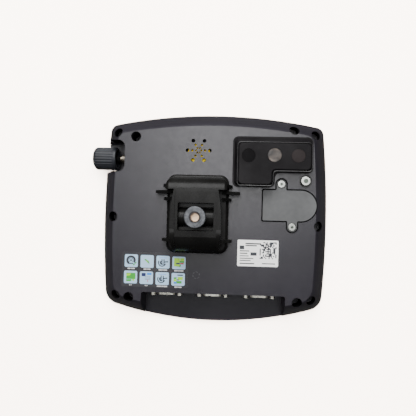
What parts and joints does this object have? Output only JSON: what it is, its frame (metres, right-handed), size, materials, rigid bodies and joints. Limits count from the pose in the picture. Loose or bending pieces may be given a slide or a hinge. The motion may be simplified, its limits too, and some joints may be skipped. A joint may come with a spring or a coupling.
{
  "type": "portable gps guidance display",
  "caption": "Rugged portable GPS guidance display with rear arm holder on a tilting threaded hub, side push knob, D connectors and front keys.",
  "frame": {"origin": "on the plane of the front face, below the middle of the whole part's outline seen from behind", "axes": "+Z out of the device's back, +Y to its top edge, +X to the side away from the knob"},
  "size_m": [0.2269, 0.2015, 0.08],
  "materials": {
    "housing": "fine-grained moulded ABS, satin",
    "rubber": "matt",
    "blackened": "blackened",
    "glass": "smooth",
    "screen": "dark, unlit",
    "steel": "plain",
    "zinc": "bright zinc plate",
    "board": "solder mask",
    "insulator": "moulded",
    "ribbon": "polyimide film",
    "cone": "yellow film",
    "magnet": "plain",
    "nickel": "nickel plate",
    "gold": "gold flash",
    "radio": "smooth satin moulding",
    "disc": "brownish satin",
    "ceramic": "fired ceramic",
    "door": "fine matt moulding",
    "paper": "white label film",
    "film": "printed label film",
    "holder": "satin glass-filled nylon",
    "knob": "soft-touch, ribbed",
    "cast": "die-cast, tumbled",
    "brass": "plain turned"
  },
  "bodies": {
    "housing": {"back_cover": "housing", "front_bezel": "housing", "housing_seal": "rubber", "housing_screws": "blackened", "touch_glass": "glass", "screen_gasket": "rubber", "display_panel": "screen", "display_bracket": "steel", "bracket_screws": "zinc", "key_domes": "rubber", "key_board": "board", "key_board_screws": "zinc", "main_board": "board", "board_screws": "zinc", "shield_can": "steel", "card_socket": "steel", "memory_card": "insulator", "display_ribbon": "ribbon", "speaker_cup": "insulator", "speaker_cone": "cone", "speaker_magnet": "magnet", "connector_shell_1": "nickel", "connector_insert_1": "insulator", "connector_shell_2": "nickel", "connector_insert_2": "insulator", "connector_shell_3": "nickel", "connector_insert_3": "insulator", "connector_pins": "gold", "jack_screws": "nickel", "encoder_body": "nickel", "encoder_washer": "nickel", "encoder_nut": "nickel", "radio_cover": "radio", "radio_cover_screws": "zinc", "cover_disc": "disc", "cover_plug": "radio", "radio_board": "board", "patch_antenna": "ceramic", "service_door": "door", "door_seal": "rubber", "door_screws": "zinc", "earth_washer": "zinc", "earth_screw": "zinc", "type_label": "paper", "icon_label": "film", "holder_base": "holder", "holder_clamp": "holder", "holder_screws": "zinc", "clamp_screws": "zinc"},
    "push_core": {"encoder_plunger": "insulator"},
    "knob": {"knob": "knob", "knob_stem": "nickel"},
    "arm_hub": {"tilt_barrel": "holder", "hub": "cast", "thread_insert": "brass"},
    "key_1": {"front_key_1": "rubber"},
    "key_2": {"front_key_2": "rubber"},
    "key_3": {"front_key_3": "rubber"},
    "key_4": {"front_key_4": "rubber"}
  },
  "joints": [
    {"name": "knob_push", "type": "slide", "parent": "housing", "child": "push_core", "axis": [1, 0, 0], "range_m": [0, 0.0008], "stiffness_N_per_m": 3000},
    {"name": "knob_turn", "type": "hinge", "parent": "push_core", "child": "knob", "pos_m": [0.0046, 0.055, 0.0253], "axis": [1, 0, 0], "continuous": true},
    {"name": "hub_tilt", "type": "hinge", "parent": "housing", "child": "arm_hub", "pos_m": [-0.0096, 0.0009, 0.06], "axis": [1, 0, 0], "range_deg": [-12, 12]},
    {"name": "key_1_press", "type": "slide", "parent": "housing", "child": "key_1", "axis": [0, 0, 1], "range_m": [0, 0.0008], "stiffness_N_per_m": 1500},
    {"name": "key_2_press", "type": "slide", "parent": "housing", "child": "key_2", "axis": [0, 0, 1], "range_m": [0, 0.0008], "stiffness_N_per_m": 1500},
    {"name": "key_3_press", "type": "slide", "parent": "housing", "child": "key_3", "axis": [0, 0, 1], "range_m": [0, 0.0008], "stiffness_N_per_m": 1500},
    {"name": "key_4_press", "type": "slide", "parent": "housing", "child": "key_4", "axis": [0, 0, 1], "range_m": [0, 0.0008], "stiffness_N_per_m": 1500}
  ]
}
